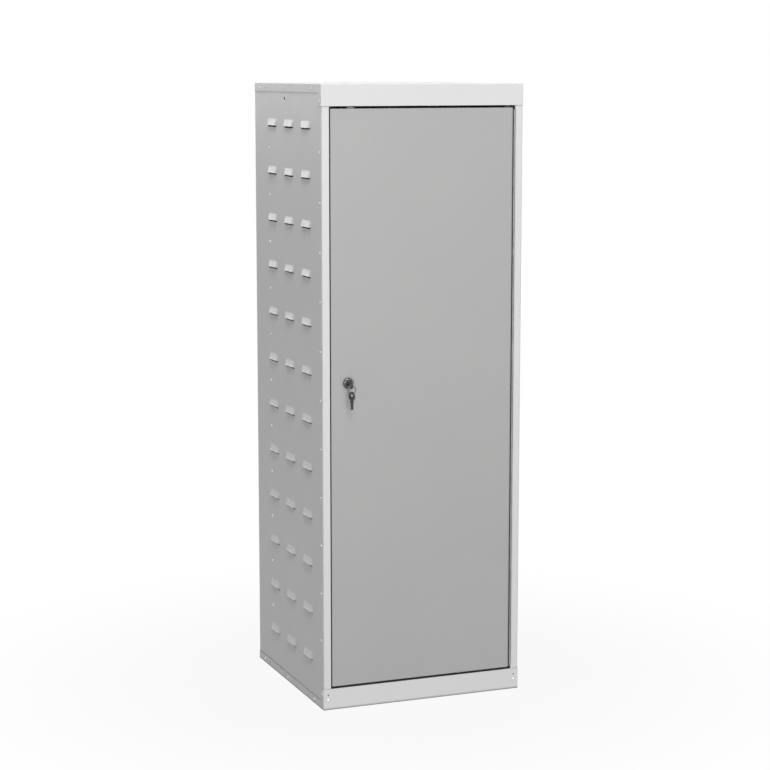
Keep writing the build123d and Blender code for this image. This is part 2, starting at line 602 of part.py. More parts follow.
# Continuous hinge: two leaves whose knuckles take turns on one pin
def hinge_leaf(inner_face, outer_face, first_knuckle):
    """A leaf between two X planes that carries every second knuckle."""
    knuckle_bottoms = [HINGE_BOTTOM + index * KNUCKLE_PITCH for index in range(KNUCKLES)]
    own = knuckle_bottoms[first_knuckle::2]
    others = knuckle_bottoms[1 - first_knuckle :: 2]
    with BuildPart() as leaf:
        with BuildSketch(Plane.XY.offset(HINGE_BOTTOM)):
            rectangle_between(inner_face, outer_face, HINGE_Y, HINGE_Y + HINGE_LEAF_WIDTH)
        extrude(amount=HINGE_LENGTH)
        with Locations(*[(HINGE_X, HINGE_Y, bottom - KNUCKLE_GAP) for bottom in others]):
            notch_height = KNUCKLE_PITCH + 2 * KNUCKLE_GAP
            low_end = (Align.CENTER, Align.CENTER, Align.MIN)
            Box(DOOR_GAP_HINGE, 2 * HINGE_NOTCH, notch_height, align=low_end, mode=Mode.SUBTRACT)
        with Locations(*[(HINGE_X, HINGE_Y, bottom + KNUCKLE_GAP) for bottom in own]):
            Cylinder(KNUCKLE_RADIUS, KNUCKLE_PITCH - 2 * KNUCKLE_GAP, align=low_end)
        with Locations((HINGE_X, HINGE_Y, HINGE_BOTTOM)):
            pin_hole = HINGE_PIN_RADIUS + HINGE_PIN_CLEARANCE
            Cylinder(pin_hole, HINGE_LENGTH, align=low_end, mode=Mode.SUBTRACT)
    return leaf


hinge_frame_leaf = hinge_leaf(JAMB_FACE - SHEET, JAMB_FACE, first_knuckle=0)
save(hinge_frame_leaf, "hinge_frame_leaf")

hinge_door_leaf = hinge_leaf(DOOR_RIGHT, DOOR_RIGHT + SHEET, first_knuckle=1)
save(hinge_door_leaf, "hinge_door_leaf")

with BuildPart() as hinge_pin:
    with BuildSketch(Plane.XY.offset(HINGE_BOTTOM)):
        with Locations((HINGE_X, HINGE_Y)):
            Circle(HINGE_PIN_RADIUS)
    extrude(amount=HINGE_LENGTH)
save(hinge_pin, "hinge_pin")


# Rod guides: angle brackets on the skin, with a window that the rod slides through
def rod_guides(rod_x, heights):
    """Guides for one rod, one at each height."""
    guide_depth = ROD_BACK + ROD_CLEARANCE + GUIDE_SHEET - DOOR_SKIN_INSIDE
    with BuildPart() as guides:
        with BuildSketch(facing_front(DOOR_SKIN_INSIDE + guide_depth)):
            with Locations(*[(rod_x, height) for height in heights]):
                Rectangle(GUIDE_WIDTH, GUIDE_SHEET)
        extrude(amount=guide_depth)
        with BuildSketch(facing_front(DOOR_SKIN_INSIDE + GUIDE_SHEET)):
            with Locations(*[(rod_x, height + GUIDE_SHEET / 2) for height in heights]):
                Rectangle(GUIDE_WIDTH, GUIDE_FOOT, align=(Align.CENTER, Align.MAX))
        extrude(amount=GUIDE_SHEET)
        with Locations(*[(rod_x, (ROD_FRONT + ROD_BACK) / 2, height) for height in heights]):
            window_width = ROD_WIDTH + 2 * ROD_CLEARANCE
            window_depth = ROD_THICKNESS + 2 * ROD_CLEARANCE
            Box(window_width, window_depth, 2 * GUIDE_SHEET, mode=Mode.SUBTRACT)
    return guides


upper_rod_guides = rod_guides(UPPER_ROD_X, (LOCK_HEIGHT + GUIDE_FROM_LOCK, DOOR_TOP - GUIDE_FROM_TOP))
save(upper_rod_guides, "upper_rod_guides")

lower_rod_guides = rod_guides(LOWER_ROD_X, (LOCK_HEIGHT - GUIDE_FROM_LOCK, DOOR_BOTTOM + GUIDE_FROM_BOTTOM))
save(lower_rod_guides, "lower_rod_guides")

# Lock body: round head outside the skin, threaded barrel behind it, bored for the plug
with BuildPart() as lock_body:
    with BuildSketch(facing_front(DOOR_FACE)):
        with Locations((LOCK_X, LOCK_HEIGHT)):
            Circle(LOCK_HEAD_RADIUS)
    extrude(amount=LOCK_HEAD_HEIGHT)
    fillet(lock_body.edges().group_by(Axis.Y)[0], radius=LOCK_HEAD_ROUND)
    with BuildSketch(facing_front(BARREL_END)):
        with Locations((LOCK_X, LOCK_HEIGHT)):
            Circle(LOCK_BARREL_RADIUS)
    extrude(amount=BARREL_END - DOOR_FACE)
    with BuildSketch(facing_front(BARREL_END)):
        with Locations((LOCK_X, LOCK_HEIGHT)):
            Circle(PLUG_RADIUS + LOCK_CLEARANCE)
    extrude(amount=BARREL_END - HEAD_FACE, mode=Mode.SUBTRACT)
save(lock_body, "lock_body")

with BuildPart() as lock_nut:
    with BuildSketch(facing_front(DOOR_SKIN_INSIDE + LOCK_NUT_THICKNESS)):
        with Locations((LOCK_X, LOCK_HEIGHT)):
            RegularPolygon(LOCK_NUT_FLATS / 2, 6, major_radius=False)
            Circle(LOCK_BARREL_RADIUS + LOCK_CLEARANCE, mode=Mode.SUBTRACT)
    extrude(amount=LOCK_NUT_THICKNESS)
save(lock_nut, "lock_nut")

# Lock plug: keyway in front, square shank and screw hole behind
with BuildPart() as lock_plug:
    with BuildSketch(facing_front(BARREL_END)):
        with Locations((LOCK_X, LOCK_HEIGHT)):
            Circle(PLUG_RADIUS)
    extrude(amount=BARREL_END - PLUG_FACE)
    with BuildSketch(facing_front(CAM_BACK)):
        with Locations((LOCK_X, LOCK_HEIGHT)):
            Rectangle(SHANK_SIDE, SHANK_SIDE)
    extrude(amount=CAM_BACK - BARREL_END)
    with BuildSketch(facing_front(KEYWAY_END)):
        with Locations((LOCK_X, LOCK_HEIGHT)):
            keyway_width = KEY_THICKNESS + 2 * KEYWAY_CLEARANCE
            Rectangle(keyway_width, KEY_BLADE_HEIGHT + 2 * KEYWAY_CLEARANCE)
    extrude(amount=KEYWAY_END - PLUG_FACE, mode=Mode.SUBTRACT)
    with BuildSketch(facing_front(CAM_BACK)):
        with Locations((LOCK_X, LOCK_HEIGHT)):
            Circle(CAM_SCREW_RADIUS + LOCK_CLEARANCE)
    extrude(amount=CAM_SCREW_LENGTH + SEAT_GAP, mode=Mode.SUBTRACT)
save(lock_plug, "lock_plug")

# Cam: a bar on the shank with a drive pin at each end
with BuildPart() as lock_cam:
    with BuildSketch(facing_front(CAM_BACK)):
        with Locations((LOCK_X, LOCK_HEIGHT)):
            SlotCenterToCenter(2 * CAM_PIN_OFFSET, CAM_BAR_WIDTH, rotation=CAM_START_ANGLE)
            shank_hole = SHANK_SIDE + 2 * LOCK_CLEARANCE
            Rectangle(shank_hole, shank_hole, mode=Mode.SUBTRACT)
    extrude(amount=CAM_THICKNESS)
    with BuildSketch(facing_front(ROD_BACK + CAM_PIN_END)):
        with Locations((LOCK_X, LOCK_HEIGHT)):
            with PolarLocations(CAM_PIN_OFFSET, 2, start_angle=CAM_START_ANGLE):
                Circle(CAM_PIN_RADIUS)
    extrude(amount=ROD_BACK + CAM_PIN_END - CAM_BACK)
save(lock_cam, "lock_cam")

with BuildPart() as cam_screw:
    with BuildSketch(facing_front(CAM_BACK + CAM_SCREW_HEAD_HEIGHT)):
        with Locations((LOCK_X, LOCK_HEIGHT)):
            Circle(CAM_SCREW_HEAD_RADIUS)
    extrude(amount=CAM_SCREW_HEAD_HEIGHT)
    with BuildSketch(facing_front(CAM_BACK)):
        with Locations((LOCK_X, LOCK_HEIGHT)):
            Circle(CAM_SCREW_RADIUS)
    extrude(amount=CAM_SCREW_LENGTH)
save(cam_screw, "cam_screw")


# Locking rods: flat bars with a cross slot at the lock end that a cam pin drives
def locking_rod(rod_x, tail, tip, slot_x, slot_z, tip_group):
    """A rod from its tail at the cam to its tip in the gap at the end of the door."""
    with BuildPart() as rod:
        with BuildSketch(facing_front(ROD_BACK)):
            half = ROD_WIDTH / 2
            rectangle_between(rod_x - half, rod_x + half, min(tail, tip), max(tail, tip))
            with Locations((slot_x, slot_z)):
                SlotOverall(ROD_SLOT_LENGTH, ROD_SLOT_HEIGHT, mode=Mode.SUBTRACT)
        extrude(amount=ROD_THICKNESS)
        tip_corners = rod.edges().filter_by(Axis.Y).group_by(Axis.Z)[tip_group]
        chamfer(tip_corners, length=ROD_TIP_CHAMFER)
    return rod


upper_rod = locking_rod(
    UPPER_ROD_X,
    tail=LOCK_HEIGHT - ROD_TAIL,
    tip=HEADER_UNDERSIDE - ROD_TIP_GAP,
    slot_x=LOCK_X + ROD_SLOT_OFFSET,
    slot_z=LOCK_HEIGHT + CAM_PIN_RISE,
    tip_group=-1,
)
save(upper_rod, "upper_rod")

lower_rod = locking_rod(
    LOWER_ROD_X,
    tail=LOCK_HEIGHT + ROD_TAIL,
    tip=SILL_TOP + ROD_TIP_GAP,
    slot_x=LOCK_X - ROD_SLOT_OFFSET,
    slot_z=LOCK_HEIGHT - CAM_PIN_RISE,
    tip_group=0,
)
save(lower_rod, "lower_rod")


# Keys: the blade starts at the shoulder and runs along the plane's X, the bow lies behind it
def door_key(shoulder_plane):
    """A flat key centred on a plane at its shoulder."""
    blade_half = KEY_BLADE_HEIGHT / 2
    blade_points = [(0, blade_half), (0, -blade_half)]
    blade_points += [(KEY_BLADE_LENGTH - KEY_TIP_CHAMFER, -blade_half), (KEY_BLADE_LENGTH, 0)]
    for cut, depth in enumerate(KEY_CUT_DEPTHS):
        middle = KEY_BLADE_LENGTH - KEY_TIP_CHAMFER - (cut + 0.5) * KEY_CUT_PITCH
        blade_points += [(middle + KEY_CUT_PITCH / 2, blade_half), (middle, blade_half - depth)]
    with BuildPart() as key_blank:
        with BuildSketch(shoulder_plane):
            with BuildLine() as blade:
                Polyline(*blade_points, close=True)
            make_face(blade.edges())
            rectangle_between(-BOW_REACH, 0, -KEY_NECK_HEIGHT / 2, KEY_NECK_HEIGHT / 2)
            with Locations((-BOW_REACH, 0)):
                Circle(KEY_BOW_RADIUS)
            with Locations((-BOW_REACH - KEY_HOLE_OFFSET, 0)):
                Circle(KEY_HOLE_RADIUS, mode=Mode.SUBTRACT)
        extrude(amount=KEY_THICKNESS / 2, both=True)
    return key_blank


key = door_key(Plane(origin=(LOCK_X, KEY_SHOULDER, LOCK_HEIGHT), x_dir=(0, 1, 0), z_dir=(1, 0, 0)))
save(key, "key")

with BuildPart() as key_ring:
    with BuildSketch(facing_front(KEY_HOLE_Y + RING_THICKNESS / 2)):
        with Locations((LOCK_X, RING_MIDDLE)):
            Circle(RING_RADIUS)
            Circle(RING_RADIUS - RING_WALL, mode=Mode.SUBTRACT)
    extrude(amount=RING_THICKNESS)
    fillet(key_ring.edges().filter_by(GeomType.CIRCLE), radius=RING_WALL / 3)
save(key_ring, "key_ring")

spare_turn = math.radians(SPARE_KEY_TURN)
spare_shoulder = SPARE_HOLE_Z - BOW_REACH - KEY_HOLE_OFFSET
spare_key = door_key(
    Plane(
        origin=(LOCK_X, KEY_HOLE_Y, spare_shoulder),
        x_dir=(0, 0, -1),
        z_dir=(math.cos(spare_turn), math.sin(spare_turn), 0),
    )
)
save(spare_key, "spare_key")
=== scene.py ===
# %% [markdown]
# # A tall steel locker with louvred sides
# The cabinet is folded sheet steel with a powder coat, a hinged door, and a cam lock that a key turns.
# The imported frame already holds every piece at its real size, so nothing is measured again here.
# This lesson gives each piece its finish, remakes the few pieces that plain solids can't show well,
# and sets the camera, the floor and the light. Lengths are in metres, as in Blender, or in millimetres
# where a comment or a factor of MM says so.

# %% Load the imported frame
import json
import math

import bmesh
import bpy
from mathutils import Matrix, Vector


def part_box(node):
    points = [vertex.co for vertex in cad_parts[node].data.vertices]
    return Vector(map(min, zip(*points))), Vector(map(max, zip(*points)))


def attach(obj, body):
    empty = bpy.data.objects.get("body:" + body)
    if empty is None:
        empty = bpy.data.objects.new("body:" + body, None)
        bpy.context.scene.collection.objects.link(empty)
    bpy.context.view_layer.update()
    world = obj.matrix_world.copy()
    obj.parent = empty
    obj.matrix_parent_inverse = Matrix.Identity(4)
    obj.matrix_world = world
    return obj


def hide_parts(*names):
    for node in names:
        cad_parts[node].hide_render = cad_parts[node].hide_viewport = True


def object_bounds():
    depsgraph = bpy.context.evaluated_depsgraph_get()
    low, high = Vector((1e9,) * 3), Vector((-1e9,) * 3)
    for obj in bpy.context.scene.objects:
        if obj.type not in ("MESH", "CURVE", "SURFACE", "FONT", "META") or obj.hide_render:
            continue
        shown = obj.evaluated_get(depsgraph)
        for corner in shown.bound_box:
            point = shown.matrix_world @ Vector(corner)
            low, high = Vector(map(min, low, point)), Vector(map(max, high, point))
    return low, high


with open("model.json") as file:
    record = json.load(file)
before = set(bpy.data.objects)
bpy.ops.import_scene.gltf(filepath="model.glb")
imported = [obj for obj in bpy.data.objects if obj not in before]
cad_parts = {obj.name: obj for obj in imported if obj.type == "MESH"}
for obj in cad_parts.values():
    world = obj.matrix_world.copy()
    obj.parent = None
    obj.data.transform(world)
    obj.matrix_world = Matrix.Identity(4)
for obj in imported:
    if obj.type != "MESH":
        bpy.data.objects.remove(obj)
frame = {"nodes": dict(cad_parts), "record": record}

cad_low, cad_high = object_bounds()
scene = bpy.context.scene
MM = 0.001
print("CAD box in mm:", [round(side / MM, 1) for side in cad_high - cad_low])

# %% [markdown]
# ## The camera
# The picture was taken from the front left, a little above the middle of the cabinet's height.
# A camera could be placed by eye, but fitting it to the cabinet's corners, its lock and a grid of
# points on its two visible faces is surer: the fit gives the place, the turn and the focal length
# together, to within a few pixels.
# The lens isn't shifted, so the same camera also frames the cabinet from every other side.

# %% Set up the camera
IMAGE_WIDTH_PX = 770
FOCAL_PX = 2080.3
SENSOR_MM = 36.0
CAMERA_PLACE = (-1.8362, -4.6584, 1.48)
CAMERA_DOWN_DEG = 8.605
CAMERA_TURN_DEG = -21.501
LEVEL_DEG = 90


def put_in_scene(name, data):
    """A new object in the scene that shows a mesh, a curve, a lamp or a camera."""
    made = bpy.data.objects.new(name, data)
    scene.collection.objects.link(made)
    return made


camera_data = bpy.data.cameras.new("photo_camera")
camera_data.sensor_width = SENSOR_MM
camera_data.lens = FOCAL_PX / IMAGE_WIDTH_PX * SENSOR_MM
camera = put_in_scene("photo_camera", camera_data)
camera.location = CAMERA_PLACE
camera.rotation_euler = (math.radians(LEVEL_DEG - CAMERA_DOWN_DEG), 0, math.radians(CAMERA_TURN_DEG))
scene.camera = camera
print(f"lens {camera_data.lens:.1f} mm, {camera.location.length:.2f} m from the middle of the floor")

# %% [markdown]
# ## Building blocks for the finishes
# Every finish here starts from Blender's Principled shader and adds slow or fine noise to it.
# Image textures would need unwrapped surfaces. Noise in each piece's own coordinates needs none,
# stays sharp at any distance, and travels with the door when it opens. One helper paints shade into
# a colour where pieces meet closely, darkening it as the shade in a joint between two folded sheets does.

# %% Start a finish and add noise
def new_finish(name):
    """A material with a Principled shader, and the handles needed to wire it."""
    finish = bpy.data.materials.new(name)
    finish.use_nodes = True
    tree = finish.node_tree
    return finish, tree, tree.nodes["Principled BSDF"]


def grain(tree, scale, detail=2.0, stretch=(1, 1, 1)):
    """Noise from 0 to 1 in the piece's own coordinates, with a scale in cells per metre."""
    place = tree.nodes.new("ShaderNodeTexCoord")
    squeeze = tree.nodes.new("ShaderNodeMapping")
    squeeze.inputs["Scale"].default_value = stretch
    noise = tree.nodes.new("ShaderNodeTexNoise")
    noise.inputs["Scale"].default_value = scale
    noise.inputs["Detail"].default_value = detail
    tree.links.new(place.outputs["Object"], squeeze.inputs["Vector"])
    tree.links.new(squeeze.outputs["Vector"], noise.inputs["Vector"])
    return noise.outputs["Fac"]


print("helpers ready: new_finish, grain")

# %% Turn noise into tone, gloss and relief
NOISE_SPAN = (0.3, 0.7)


def rescale(tree, source, old_span, new_span, easing="LINEAR"):
    """Carry a value from one span over to another."""
    carry = tree.nodes.new("ShaderNodeMapRange")
    carry.interpolation_type = easing
    sockets = ("From Min", "From Max", "To Min", "To Max")
    for socket, value in zip(sockets, (*old_span, *new_span)):
        carry.inputs[socket].default_value = value
    tree.links.new(source, carry.inputs["Value"])
    return carry.outputs["Result"]


def spread(tree, source, low, high):
    """Stretch the middle of a noise, where most of it lies, to the span from low to high."""
    return rescale(tree, source, NOISE_SPAN, (low, high))


def tint(tree, source, dark, light):
    """A colour between two near greys, chosen by a noise."""
    blend = tree.nodes.new("ShaderNodeMix")
    blend.data_type = "RGBA"
    blend.inputs["A"].default_value = (*dark, 1)
    blend.inputs["B"].default_value = (*light, 1)
    tree.links.new(spread(tree, source, 0.0, 1.0), blend.inputs["Factor"])
    return blend.outputs["Result"]


def relief(tree, shader, source, depth_mm, strength):
    """Raise and lower the surface a little, without moving the mesh."""
    bump = tree.nodes.new("ShaderNodeBump")
    bump.inputs["Distance"].default_value = depth_mm * MM
    bump.inputs["Strength"].default_value = strength
    tree.links.new(source, bump.inputs["Height"])
    tree.links.new(bump.outputs["Normal"], shader.inputs["Normal"])


print("helpers ready: rescale, spread, tint, relief")

# %% Paint shade into the joints
OPEN_SPAN = (0.55, 0.97)
OPEN_SAMPLES = 8


def painted_joint_shade(tree, colour, reach_mm, darkest):
    """Paint shade into a colour where two pieces meet closely, darker the closer they are."""
    openness = tree.nodes.new("ShaderNodeAmbientOcclusion")
    openness.samples = OPEN_SAMPLES
    openness.inputs["Distance"].default_value = reach_mm * MM
    share = rescale(tree, openness.outputs["AO"], OPEN_SPAN, (darkest, 1.0))
    dim = tree.nodes.new("ShaderNodeVectorMath")
    dim.operation = "SCALE"
    tree.links.new(colour, dim.inputs["Vector"])
    tree.links.new(share, dim.inputs["Scale"])
    return dim.outputs["Vector"]


print("helper ready: seams")

# %% [markdown]
# ## Powder coat
# The carcass is light grey and the door a mid grey. Powder is sprayed on dry and melts in an oven.
# It flows into a skin that is never quite flat: makers call the fine waviness orange peel.
# A single grey would look like a drawing, so a slow cloud shifts the tone by a few percent,
# a finer noise changes the gloss, and a shallow relief about three millimetres wide makes the peel.
# Shade is painted into the colour within a few millimetres of a joint,
# so the pieces read as separate sheets.

# %% Make the two powder coats
CLOUDS_PER_M = 4.0
GLOSS_PATCHES_PER_M = 60.0
PEEL_PER_M = 330.0
COAT_SMOOTH, COAT_ROUGH = 0.32, 0.42
COAT_MIRROR = 0.25


def powder_coat(name, grey, cloud_contrast):
    finish, tree, shader = new_finish(name)
    cloud = grain(tree, scale=CLOUDS_PER_M, detail=4.0)
    dark = [tone * (1 - cloud_contrast) for tone in grey]
    light = [tone * (1 + cloud_contrast) for tone in grey]
    # painted shade: the colour darkens where another surface lies within 7 mm
    colour = painted_joint_shade(tree, tint(tree, cloud, dark, light), reach_mm=7.0, darkest=0.2)
    tree.links.new(colour, shader.inputs["Base Color"])
    gloss = grain(tree, scale=GLOSS_PATCHES_PER_M)
    tree.links.new(spread(tree, gloss, COAT_SMOOTH, COAT_ROUGH), shader.inputs["Roughness"])
    peel = grain(tree, scale=PEEL_PER_M, detail=1.0)
    relief(tree, shader, peel, depth_mm=0.05, strength=0.25)
    shader.inputs["Specular IOR Level"].default_value = COAT_MIRROR
    return finish


light_grey_powder = powder_coat("light_grey_powder", (0.74, 0.74, 0.735), cloud_contrast=0.012)
mid_grey_powder = powder_coat("mid_grey_powder", (0.45, 0.45, 0.447), cloud_contrast=0.015)
print("powder coats:", light_grey_powder.name, mid_grey_powder.name)

# %% [markdown]
# ## Bare and plated metal
# The hinge, the rods and their guides are zinc plated: grey, with a soft cloudy sheen.
# The lock and the ring have a dark bright plating, the keys are worn nickel, and the rivets aluminium.
# All four are the same recipe with other numbers: a metallic shader whose tone and roughness wander,
# with the noise drawn out along one direction where the metal was rolled or rubbed.

# %% A recipe for metals
HANDLED_FINER = 2.3
RUBBED_FINER = 9.0


def plain_metal(name, dark, light, smooth, rough, scale, stretch=(1, 1, 1), scratch=0.1):
    """Metal between two greys and two roughnesses, with finer noise for handling and rubbing."""
    finish, tree, shader = new_finish(name)
    shader.inputs["Metallic"].default_value = 1.0
    wander = grain(tree, scale=scale, detail=3.0, stretch=stretch)
    tree.links.new(tint(tree, wander, (dark,) * 3, (light,) * 3), shader.inputs["Base Color"])
    handled = grain(tree, scale=scale * HANDLED_FINER, detail=2.0, stretch=stretch)
    tree.links.new(spread(tree, handled, smooth, rough), shader.inputs["Roughness"])
    rubbed = grain(tree, scale=scale * RUBBED_FINER, detail=1.0, stretch=stretch)
    relief(tree, shader, rubbed, depth_mm=0.02, strength=scratch)
    return finish


print("helper ready: plain_metal")

# %% Make the metals
zinc_plate = plain_metal(
    "zinc_plate", dark=0.2, light=0.28, smooth=0.38, rough=0.54, scale=45.0, stretch=(3, 3, 1)
)
dark_bright_plate = plain_metal(
    "dark_bright_plate", dark=0.09, light=0.16, smooth=0.08, rough=0.16, scale=160.0, scratch=0.04
)
worn_nickel = plain_metal(
    "worn_nickel", dark=0.06, light=0.13, smooth=0.16, rough=0.34, scale=220.0, stretch=(1, 1, 4)
)
rivet_aluminium = plain_metal(
    "rivet_aluminium", dark=0.6, light=0.7, smooth=0.42, rough=0.55, scale=300.0
)
print("metals:", zinc_plate.name, dark_bright_plate.name, worn_nickel.name, rivet_aluminium.name)

# %% [markdown]
# ## Rubber
# Three small buffers on the post stop the door. Moulded rubber is nearly black and hardly shines.
# A fine relief keeps it from looking like a hole in the picture when the door stands open.

# %% Make the rubber
RUBBER_DARK, RUBBER_LIGHT = 0.022, 0.04
RUBBER_SMOOTH, RUBBER_ROUGH = 0.66, 0.82

black_rubber, tree, shader = new_finish("black_rubber")
skin = grain(tree, scale=500.0, detail=2.0)
tree.links.new(tint(tree, skin, (RUBBER_DARK,) * 3, (RUBBER_LIGHT,) * 3), shader.inputs["Base Color"])
tree.links.new(spread(tree, skin, RUBBER_SMOOTH, RUBBER_ROUGH), shader.inputs["Roughness"])
relief(tree, shader, skin, depth_mm=0.05, strength=0.3)
print("rubber:", black_rubber.name)

# %% [markdown]
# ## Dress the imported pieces
# The record says which finish each piece has, so the pieces don't need to be listed again here.
# Only the material slot is touched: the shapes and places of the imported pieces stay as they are.

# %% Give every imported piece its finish
FINISHES = {
    "body_paint": light_grey_powder,
    "door_paint": mid_grey_powder,
    "zinc_steel": zinc_plate,
    "chrome": dark_bright_plate,
    "key_metal": worn_nickel,
    "rivet_metal": rivet_aluminium,
    "rubber": black_rubber,
}


def dress(piece, finish):
    """Put one finish on a piece, whether or not it has a material slot yet."""
    if not piece.data.materials:
        piece.data.materials.append(finish)
    for slot in piece.material_slots:
        slot.material = finish


for row in frame["record"]["subparts"]:
    dress(frame["nodes"][row["node"]], FINISHES[row["material_slot"]])

# %% [markdown]
# ## The louvred side panels
# Each side is one flat sheet with three columns of twelve louvres. A press cuts a slit and pushes
# the metal above it outwards, so the sheet swells smoothly into a hood over the slit.
# Hoods could be joined on one by one, but the real sheet has no joints. Here the whole sheet is one
# grid of points, fine where a hood is and wide elsewhere. Points along each slit are doubled, one
# for the lip and one for the sheet below it, and every point is then pushed out by the hood's curve.
# All these sizes are in millimetres.

# %% The curve of one hood
HOOD_HALF_WIDTH = 34.0
HOOD_FLAT_HALF = 23.0
HOOD_HEIGHT = 17.0
HOOD_DEPTH = 4.5
HOOD_ROOT_CURVE = 1.2
HOOD_SIDE_CURVE = 1.6


def hood_depth(along, above):
    """How far a hood stands out at a point beside its middle and above its slit."""
    past_flat = max(0.0, abs(along) - HOOD_FLAT_HALF) / (HOOD_HALF_WIDTH - HOOD_FLAT_HALF)
    side = past_flat ** HOOD_SIDE_CURVE
    from_lip = math.hypot(side, above / HOOD_HEIGHT)
    return HOOD_DEPTH * max(0.0, 1.0 - from_lip) ** HOOD_ROOT_CURVE


print("hood at its lip, half way up and at its root:",
      [round(hood_depth(0, share * HOOD_HEIGHT), 2) for share in (0, 0.5, 1)])

# %% Lines of the grid
HOOD_COLUMNS = (-134.0, -13.5, 107.0)
HOOD_ROWS = 12
FIRST_SLIT = 1349.0
LAST_SLIT = 103.8
HALF_STEPS = (4, 8, 12, 16, 20, 23, 25, 27, 29, 31, 32.5, 34, 35)
UP_STEPS = (-4, 0, 1.8, 3, 4.5, 6, 7.5, 9, 10.5, 12, 13.5, 15, 16, 17, 18)

slits = [FIRST_SLIT + (LAST_SLIT - FIRST_SLIT) * row / (HOOD_ROWS - 1) for row in range(HOOD_ROWS)]
across = [-step for step in reversed(HALF_STEPS)] + [0] + list(HALF_STEPS)
hood_lines_y = [column + step for column in HOOD_COLUMNS for step in across]
hood_lines_z = [slit + step for slit in reversed(slits) for step in UP_STEPS]
print(len(hood_lines_y), "lines across the hoods and", len(hood_lines_z), "lines up them")

# %% Points of a louvred sheet
LIP_RISE = 1.2
SILL_DROP = 2.8
SAME_LINE = 0.01


def sheet_points(mesh, outer_x, outward, lines_y, lines_z):
    """Points of the sheet: the lip set is used by faces above a line, the sill set by those below."""
    lips, sills = {}, {}
    for row, z in enumerate(lines_z):
        slit = max((line for line in slits if line <= z + SAME_LINE), default=-HOOD_HEIGHT)
        for column, y in enumerate(lines_y):
            along = min((y - middle for middle in HOOD_COLUMNS), key=abs)
            out = hood_depth(along, z - slit) if z >= slit else 0.0
            at_slit = abs(z - slit) < SAME_LINE and out > 0
            rise = LIP_RISE * out / HOOD_DEPTH if at_slit else 0.0
            lip = mesh.verts.new(((outer_x + outward * out) * MM, y * MM, (z + rise) * MM))
            lips[row, column] = sills[row, column] = lip
            if at_slit:
                drop = SILL_DROP * out / HOOD_DEPTH
                sills[row, column] = mesh.verts.new((outer_x * MM, y * MM, (z - drop) * MM))
    return lips, sills


print("each lip rises", LIP_RISE, "mm and the sheet below it opens by", SILL_DROP, "mm")

# %% Build both sheets
SHEET_MM = 1.0


def mesh_data(name, mesh):
    """Turn a mesh under construction into data that an object can show."""
    data = bpy.data.meshes.new(name)
    mesh.to_mesh(data)
    mesh.free()
    return data


def louvred_sheet(name, node, outward):
    low, high = (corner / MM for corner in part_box(node))
    outer_x = low.x + HOOD_DEPTH if outward < 0 else high.x - HOOD_DEPTH
    lines_y = [low.y] + hood_lines_y + [high.y]
    lines_z = [low.z] + hood_lines_z + [high.z]
    mesh = bmesh.new()
    lips, sills = sheet_points(mesh, outer_x, outward, lines_y, lines_z)
    for row in range(len(lines_z) - 1):
        for column in range(len(lines_y) - 1):
            corners = [lips[row, column], lips[row, column + 1],
                       sills[row + 1, column + 1], sills[row + 1, column]]
            face = mesh.faces.new(corners if outward > 0 else corners[::-1])
            face.smooth = True
    return put_in_scene(name, mesh_data(name, mesh))


panels = {}
for hand, outward in (("left", -1), ("right", 1)):
    panel = louvred_sheet(f"{hand}_louvred_sheet", f"{hand}_side_panel", outward)
    thickness = panel.modifiers.new("sheet_thickness", "SOLIDIFY")
    thickness.thickness = SHEET_MM * MM
    thickness.offset = -1
    panels[hand] = panel
    print(panel.name, "has", len(panel.data.vertices), "points")

# %% [markdown]
# ## Holes in the side panels
# High on each side is a plain hole for a bolt to the next locker in a row, and near the back corners
# there are two small spare holes. They could be cut into the grid, but round holes don't follow its
# lines. A Boolean modifier cuts them after the thickness is added, as the press does in the real sheet.
# The record gives the place of the bolt's hole. A spare hole is written as its y, its z and its radius.

# %% Plugs that cut the holes
SPARE_HOLES = ((153.0, 1439.0, 1.65), (153.0, 11.0, 1.65))
HOLE_SIDES = 32
CUTTER_LENGTH = 6 * SHEET_MM


def hole_cutter(name, x, holes):
    """Short round plugs through the sheet, one for each hole."""
    mesh = bmesh.new()
    for y, z, radius in holes:
        place = Matrix.Translation((x * MM, y * MM, z * MM)) @ Matrix.Rotation(math.pi / 2, 4, "Y")
        bmesh.ops.create_cone(mesh, cap_ends=True, segments=HOLE_SIDES, radius1=radius * MM,
                              radius2=radius * MM, depth=CUTTER_LENGTH * MM, matrix=place)
    return put_in_scene(name, mesh_data(name, mesh))


mounts = {mount["name"]: mount for mount in frame["record"]["mounts"]}
print("bolt holes:", [name for name, mount in mounts.items() if mount["kind"] == "bore"])

# %% Cut the holes and hand over the panels
CREASE_DEG = 40


def shaped_mesh(piece):
    """The mesh that a piece's modifiers or curve settings give it."""
    shaped = piece.evaluated_get(bpy.context.evaluated_depsgraph_get())
    return bpy.data.meshes.new_from_object(shaped)


for hand, panel in panels.items():
    bolt_hole = mounts[f"{hand}_joining_hole"]
    hole_x, hole_y, hole_z = (place / MM for place in bolt_hole["pos_m"])
    holes = ((hole_y, hole_z, bolt_hole["dims"]["r_mm"]), *SPARE_HOLES)
    cut = panel.modifiers.new("holes", "BOOLEAN")
    cut.object = hole_cutter(f"{hand}_hole_cutter", hole_x, holes)
    cut.solver = "EXACT"
    finished = shaped_mesh(panel)
    bpy.data.objects.remove(cut.object)
    panel.modifiers.clear()
    panel.data = finished
    panel.data.set_sharp_from_angle(angle=math.radians(CREASE_DEG))
    dress(panel, light_grey_powder)
    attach(panel, "carcass")
    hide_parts(f"{hand}_side_panel")
    print(panel.name, "now has", len(panel.data.polygons), "faces")

